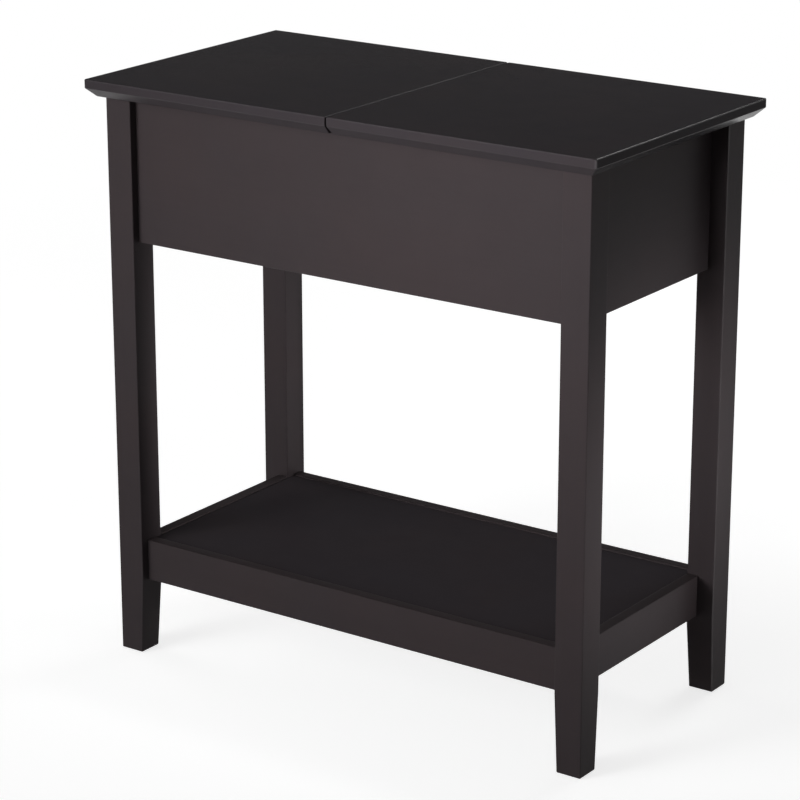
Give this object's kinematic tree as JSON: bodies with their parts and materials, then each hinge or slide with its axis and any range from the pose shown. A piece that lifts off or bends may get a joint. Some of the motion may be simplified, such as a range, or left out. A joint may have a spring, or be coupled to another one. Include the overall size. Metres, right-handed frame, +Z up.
{
  "type": "lift top end table",
  "caption": "Narrow end table with flip-up lids over a divided storage box, concealed cup hinges, square tapering legs and a lower shelf.",
  "frame": {"origin": "on the floor under the middle of the top", "axes": "+X to the right along the length, +Y from the front to the back, +Z up"},
  "size_m": [0.6, 0.315, 0.615],
  "materials": {
    "frame_lacquer": "satin espresso lacquer on wood",
    "lid_lacquer": "satin espresso lacquer on wood",
    "shelf_lacquer": "satin espresso lacquer on wood",
    "box_lining": "matt espresso stain on board",
    "batten_wood": "matt espresso stain on softwood",
    "beech": "plain unfinished wood",
    "hinge_steel": "nickel-plated pressed steel",
    "pin_steel": "bright steel",
    "screw_steel": "zinc-plated steel",
    "felt": "dense felt"
  },
  "bodies": {
    "case": {"apron_dowels": "beech", "back_apron": "frame_lacquer", "back_left_leg": "frame_lacquer", "back_right_leg": "frame_lacquer", "back_shelf_rail": "frame_lacquer", "centre_divider": "box_lining", "divider_dowels": "beech", "floor_cleats": "batten_wood", "foot_pads": "felt", "front_apron": "frame_lacquer", "front_left_leg": "frame_lacquer", "front_right_leg": "frame_lacquer", "front_shelf_rail": "frame_lacquer", "left_apron": "frame_lacquer", "left_arm_pins": "pin_steel", "left_arm_screws": "screw_steel", "left_hinge_arms": "hinge_steel", "left_mounting_plates": "hinge_steel", "left_plate_screws": "screw_steel", "left_shelf_rail": "frame_lacquer", "rail_dowels": "beech", "right_apron": "frame_lacquer", "right_arm_pins": "pin_steel", "right_arm_screws": "screw_steel", "right_hinge_arms": "hinge_steel", "right_mounting_plates": "hinge_steel", "right_plate_screws": "screw_steel", "right_shelf_rail": "frame_lacquer", "shelf_cleats": "batten_wood", "shelf_panel": "shelf_lacquer", "storage_floor": "box_lining"},
    "left_links": {"left_hinge_links": "hinge_steel"},
    "right_links": {"right_hinge_links": "hinge_steel"},
    "left_lid": {"left_hinge_cups": "hinge_steel", "left_cup_pins": "pin_steel", "left_cup_screws": "screw_steel", "left_lid": "lid_lacquer"},
    "right_lid": {"right_hinge_cups": "hinge_steel", "right_cup_pins": "pin_steel", "right_cup_screws": "screw_steel", "right_lid": "lid_lacquer"}
  },
  "joints": [
    {"name": "left_link_pivot", "type": "hinge", "parent": "case", "child": "left_links", "pos_m": [-0.0305, 0, 0.5885], "axis": [0, -1, 0], "range_deg": [0, 54]},
    {"name": "left_lid_pivot", "type": "hinge", "parent": "left_links", "child": "left_lid", "pos_m": [-0.0118, 0, 0.6011], "axis": [0, 1, 0], "range_deg": [0, 144]},
    {"name": "right_link_pivot", "type": "hinge", "parent": "case", "child": "right_links", "pos_m": [0.0305, 0, 0.5885], "axis": [0, 1, 0], "range_deg": [0, 54]},
    {"name": "right_lid_pivot", "type": "hinge", "parent": "right_links", "child": "right_lid", "pos_m": [0.0118, 0, 0.6011], "axis": [0, -1, 0], "range_deg": [0, 144]}
  ],
  "couplings": [
    {"joint": "left_link_pivot", "follows": "left_lid_pivot", "ratio": 0.375},
    {"joint": "right_link_pivot", "follows": "right_lid_pivot", "ratio": 0.375}
  ]
}
